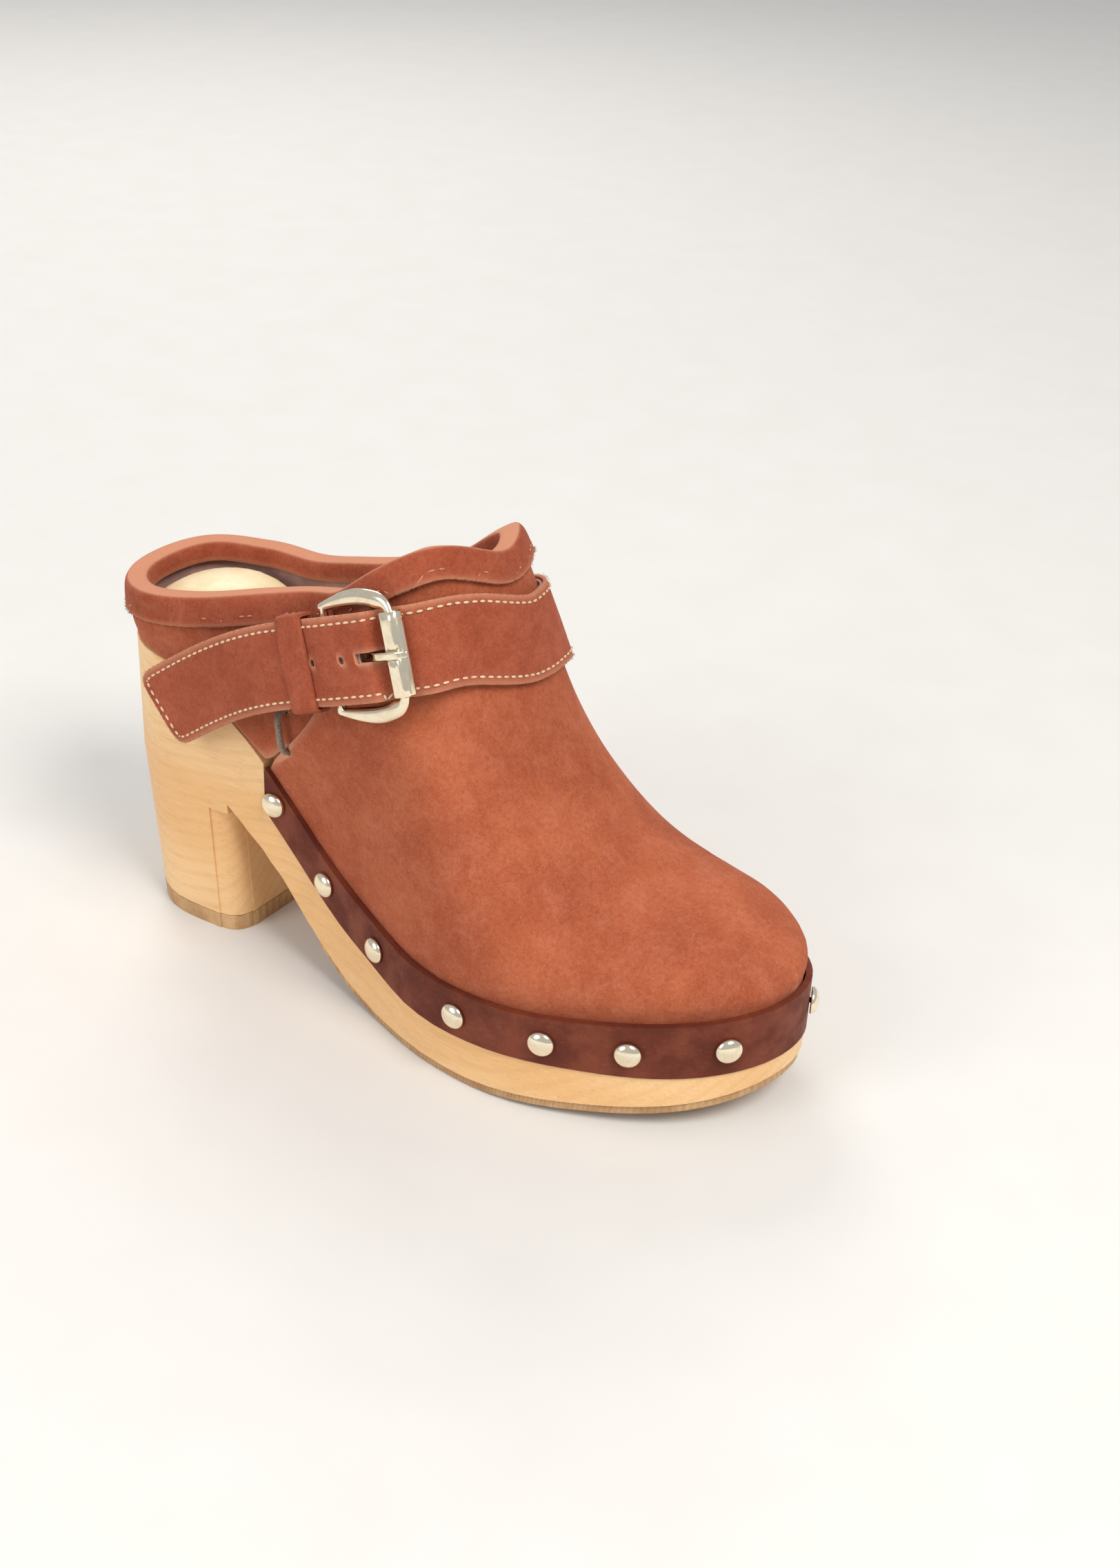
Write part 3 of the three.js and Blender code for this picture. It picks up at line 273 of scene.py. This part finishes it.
def mergedCopy(node):  # the node's surface as one mesh, with its quads back
    bm = bmesh.new()
    bm.from_mesh(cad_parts[node].data)
    for layer in list(bm.loops.layers.uv.values()):
        bm.loops.layers.uv.remove(layer)
    bmesh.ops.remove_doubles(bm, verts=bm.verts, dist=3e-6)
    bmesh.ops.dissolve_degenerate(bm, edges=bm.edges, dist=1e-6)
    bmesh.ops.join_triangles(bm, faces=bm.faces, angle_face_threshold=math.radians(22),
                             angle_shape_threshold=math.radians(50))
    for face in bm.faces:
        face.material_index = 0
    for part in (bm.verts, bm.edges, bm.faces):
        part.index_update()
    return bm


def turning(edge):  # how far the surface turns at an edge
    return edge.calc_face_angle(0.0) if len(edge.link_faces) == 2 else 0.0


def edgeLoops(edges):  # closed chains of edges, taken in the mesh's own order
    rest = {e.index: e for e in edges}
    loops = []
    while rest:
        first = rest.pop(min(rest))
        chain = [first.verts[0], first.verts[1]]
        while chain[-1] not in chain[:-1]:
            onward = [e.index for e in chain[-1].link_edges if e.index in rest]
            if not onward:
                break
            chain.append(rest.pop(min(onward)).other_vert(chain[-1]))
        chain = chain[chain.index(chain[-1]):]
        if len(chain) > 8:
            loops.append([v.co.copy() for v in chain[:-1]])
    return loops


def loopLength(points):
    return sum((a - b).length for a, b in zip(points, points[1:] + points[:1]))


def leatherPiece(node, material, body, levels=2, crease=0.55, sharp=48, edge=True):
    bm = mergedCopy(node)
    worn = bm.verts.layers.float.new("cutEdge")
    soft = bm.edges.layers.float.new("crease_edge")
    for e in bm.edges:
        if turning(e) > math.radians(sharp):
            e[soft] = crease
            for v in e.verts:
                v[worn] = 1.0 if edge else 0.0
    piece = shown(node + "Skin", bm, material, body, [node])
    if levels:
        rounding = piece.modifiers.new("rounding", "SUBSURF")
        rounding.levels = rounding.render_levels = levels


def crispPiece(node, material, body, width):
    bm = mergedCopy(node)
    for e in bm.edges:
        e.smooth = turning(e) < math.radians(30)
    edges = shown(node + "Shaped", bm, material, body, [node]).modifiers.new("edges", "BEVEL")
    edges.width, edges.segments = width, 2
    edges.limit_method, edges.angle_limit = "ANGLE", math.radians(38)
    edges.harden_normals = False


def evenly(points, spacing, closed=True):  # points at even steps along a chain
    ring = points + points[:1] if closed else points
    out, carried = [], 0.0
    for a, b in zip(ring, ring[1:]):
        length = (b - a).length
        at = spacing - carried
        while at <= length:
            out.append((a.lerp(b, at / length), (b - a).normalized()))
            at += spacing
        carried = (carried + length) % spacing if length else carried
    return out


def insetRow(points, surface, inset, spacing, closed=True):  # points a step inside an edge, on the surface
    row = []
    for place, along in evenly(points, spacing, closed):
        normal = surface.find_nearest(place)[1]
        best = None
        for side in (1, -1):
            inward = along.cross(normal) * side
            hit, hitNormal, _, away = surface.find_nearest(place + inward * inset)
            if best is None or away < best[0]:
                best = (away, hit, hitNormal)
        row.append((best[1], best[2], along))
    return row


def stitchRow(name, rows, thread, material, body):
    bm = bmesh.new()
    for row in rows:
        for (a, normalA, _), (b, _, _) in zip(row, row[1:] + row[:1]):
            reach = b - a
            if reach.length > 2.2 * thread["spacing"] or reach.length < 1e-5:
                continue
            along = reach.normalized()
            out = (normalA - along * normalA.dot(along)).normalized()
            turn = Matrix((along, out.cross(along), out)).transposed().to_4x4()
            width = thread["width"]
            size = Matrix.Diagonal((reach.length * thread["share"] / 2, width / 2, width / 2.4, 1))
            middle = (a + b) / 2 + out * width * 0.12
            bmesh.ops.create_uvsphere(bm, u_segments=6, v_segments=5, radius=1,
                                      matrix=Matrix.Translation(middle) @ turn @ size)
    shown(name, bm, material, body)


def fuzz(name, rows, hair, material, body):  # loose fibres along a raw edge
    bm = bmesh.new()
    for row in rows:
        for place, normal, along in row:
            for _ in range(hair["each"]):
                side = along.cross(normal)
                lean = normal * random.uniform(0.1, 0.9) + side * random.uniform(-1, 1)
                lean = (lean + along * random.uniform(-0.9, 0.9)).normalized()
                length = hair["length"] * random.uniform(0.4, 1.0)
                foot = place + along * random.uniform(-0.0008, 0.0008)
                turn = lean.to_track_quat("Z", "Y").to_matrix().to_4x4()
                bmesh.ops.create_cone(bm, cap_ends=True, segments=3, radius1=hair["width"] / 2,
                                      radius2=hair["width"] / 8, depth=length,
                                      matrix=Matrix.Translation(foot + lean * length * 0.4) @ turn)
    shown(name, bm, material, body)


# The shoe.

aimCamera()
lightStudio()
print("camera and light placed")

wood = carvedWood()
rubber = tanRubber()
gold = paleGold()
upperSuede = suede("upperSuede", "8f422a", "b3613f", "cb8062", "cf9274")
strapSuede = suede("strapSuede", "83391f", "a3523a", "bd7054", "cc9070")
randLeather = smoothLeather("randLeather", "571f0e", "75341c", "8f4c30", 0.62)
liningLeather = smoothLeather("liningLeather", "9b776c", "bd968a", "cdb0a5", 0.85)
creamLeather = smoothLeather("creamLeather", "dcc497", "ecdab4", "f3e6c8", 0.55)
creamThread = twistedThread("creamThread", "e9cfae", "b98c68")
rustThread = twistedThread("rustThread", "c98a6c", "8d4b35")
waxedThread = twistedThread("waxedThread", "9c8b78", "4b3d32")
print("materials made")

crispPiece("wooden_sole", wood, "shoe", 0.0006)
crispPiece("forepart_outsole", rubber, "shoe", 0.0004)
crispPiece("heel_top_piece", rubber, "shoe", 0.0004)
crispPiece("footbed", creamLeather, "shoe", 0.0006)
crispPiece("footbed_sock", creamLeather, "shoe", 0.0004)
print("sole made")

leatherPiece("vamp", upperSuede, "shoe", 2, 0.8)
leatherPiece("vamp_lining", liningLeather, "shoe", 1, 0.8)
leatherPiece("quarter", upperSuede, "shoe", 2, 0.8)
leatherPiece("quarter_lining", liningLeather, "shoe", 1, 0.8)
leatherPiece("topline_binding", strapSuede, "shoe", 2, 0.9, 50)
crispPiece("rand", randLeather, "shoe", 0.0005)
leatherPiece("strap", strapSuede, "shoe", 2, 0.7)
leatherPiece("strap_backing", liningLeather, "shoe", 1, 0.8)
leatherPiece("keeper_loop", strapSuede, "keeper", 2, 0.9, 48, False)
leatherPiece("buckle_chape", strapSuede, "shoe", 0, 0.8, 48, False)
leatherPiece("corner_tack", waxedThread, "shoe", 2, 0.8, 70, False)
print("leathers made")

leatherPiece("buckle_frame", gold, "buckle", 2, 1.0, 60, False)
leatherPiece("buckle_sleeve", gold, "buckle", 2, 0.75, 30, False)
leatherPiece("buckle_prong", gold, "prong", 2, 0.75, 40, False)
print("buckle made")


def studPiece(node):
    stud = {"radius": 0.0044, "height": 0.0027, "rim": 0.00035, "shank": 0.0009, "sides": 32}
    corners = [v.co.copy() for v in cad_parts[node].data.vertices]
    far = max(corners, key=lambda c: (c - corners[0]).length)
    other = max(corners, key=lambda c: (c - far).length)
    near = [sum(1 for c in corners if (c - end).length < 0.006) for end in (far, other)]
    crown, tip = (far, other) if near[0] > near[1] else (other, far)
    axis = (crown - tip).normalized()
    base = crown - axis * stud["height"]
    bm = bmesh.new()
    profile = [(0, stud["height"])]
    for k in range(1, 9):
        turn = k / 8 * math.pi / 2
        height = stud["rim"] + (stud["height"] - stud["rim"]) * math.cos(turn)
        profile.append((stud["radius"] * math.sin(turn), height))
    profile += [(stud["radius"] - 0.00012, 0.0001), (stud["radius"] - 0.0005, 0), (stud["shank"], 0.0002),
                (stud["shank"], -0.0110), (0, -0.0130)]
    chain = [bm.verts.new((r, 0, h)) for r, h in profile]
    edges = [bm.edges.new(pair) for pair in zip(chain, chain[1:])]
    bmesh.ops.spin(bm, geom=chain + edges, cent=(0, 0, 0), axis=(0, 0, 1), angle=2 * math.pi,
                   steps=stud["sides"], use_merge=True)
    bmesh.ops.remove_doubles(bm, verts=bm.verts, dist=1e-6)
    bmesh.ops.recalc_face_normals(bm, faces=bm.faces)
    turned = axis.to_track_quat("Z", "Y").to_matrix().to_4x4()
    bmesh.ops.transform(bm, verts=bm.verts, matrix=Matrix.Translation(base) @ turned)
    shown(node.replace("_", "") + "Dome", bm, gold, "shoe", [node])


for node in sorted(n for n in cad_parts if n.startswith("stud_")):
    studPiece(node)
print("studs made")


def outerFaces(bm, inside):  # the faces that look away from what lies inside the piece
    outer = set()
    for face in bm.faces:
        middle = face.calc_center_median()
        if face.normal.dot((middle - inside.find_nearest(middle)[0]).normalized()) > 0.7:
            outer.add(face)
    return outer


def outerSkin(faces):  # those faces as a surface to set stitches on
    corners = [v.co.copy() for f in faces for v in f.verts]
    polygons, start = [], 0
    for f in faces:
        polygons.append(list(range(start, start + len(f.verts))))
        start += len(f.verts)
    return BVHTree.FromPolygons(corners, polygons)


def strapStitches():
    thread = {"inset": 0.0024, "spacing": 0.0031, "share": 0.74, "width": 0.00085}
    bm = mergedCopy("strap")
    backing = mergedCopy("strap_backing")
    outer = sorted(outerFaces(bm, BVHTree.FromBMesh(backing)), key=lambda f: f.index)
    surface = outerSkin(outer)
    rim = {e for e in bm.edges if sum(f in outer for f in e.link_faces) == 1}
    outline = max(edgeLoops(rim), key=loopLength)
    row = insetRow(outline, surface, thread["inset"], thread["spacing"])
    stitchRow("strapStitches", [row], thread, creamThread, "shoe")
    edge = insetRow(outline, surface, 0.0001, 0.0009)
    hair = {"each": 1, "length": 0.0011, "width": 0.00011}
    fuzz("strapFibres", [edge], hair, strapSuede, "shoe")
    bm.free()
    backing.free()


def bindingStitches():
    thread = {"inset": 0.0031, "spacing": 0.0030, "share": 0.72, "width": 0.0007}
    bm = mergedCopy("topline_binding")
    surface = BVHTree.FromBMesh(bm)
    edges = {e for e in bm.edges if turning(e) > math.radians(60)}
    loops = sorted(edgeLoops(edges), key=lambda p: sum(c.z for c in p) / len(p))
    lowest = max(loops[:2], key=loopLength)
    row = insetRow(lowest, surface, thread["inset"], thread["spacing"])
    stitchRow("bindingStitches", [row], thread, rustThread, "shoe")
    edge = insetRow(lowest, surface, 0.0001, 0.0007)
    hair = {"each": 2, "length": 0.0014, "width": 0.00012}
    fuzz("bindingFibres", [edge], hair, strapSuede, "shoe")
    bm.free()


def seamStitches():  # up the vamp's back edge on both sides, from above the tack to under the binding
    thread = {"inset": 0.0026, "spacing": 0.0029, "share": 0.72, "width": 0.0007}
    bm = mergedCopy("vamp")
    surface = BVHTree.FromBMesh(bm)
    inside = mergedCopy("vamp_lining")
    under = BVHTree.FromBMesh(inside)
    cut = [v.co.copy() for v in bm.verts if any(turning(e) > math.radians(48) for e in v.link_edges)]
    rows = []
    for side in (-1, 1):
        seam = [c for c in cut if c.x * side > 0 and c.y > 0.008 and 0.088 < c.z < 0.146]
        away = [under.find_nearest(c)[3] for c in seam]
        middle = (max(away) + min(away)) / 2
        seam = sorted((c for c, d in zip(seam, away) if d > middle), key=lambda c: c.z)
        rows.append(insetRow(seam, surface, thread["inset"], thread["spacing"], False))
    stitchRow("seamStitches", rows, thread, creamThread, "shoe")
    bm.free()
    inside.free()


strapStitches()
bindingStitches()
seamStitches()
print("stitches made")


def makeFloor():
    bm = bmesh.new()
    bmesh.ops.create_grid(bm, x_segments=1, y_segments=1, size=8)
    mesh = bpy.data.meshes.new("floor")
    bm.to_mesh(mesh)
    bm.free()
    f = Finish("paleFloor", Roughness=0.85)
    f.feed(f.mixed(f.noise(30, 3, 0.5), linear("d6d3cd"), linear("dcd9d4")))
    mesh.materials.append(f.material)
    floor = bpy.data.objects.new("floor", mesh)
    bpy.context.scene.collection.objects.link(floor)


makeFloor()
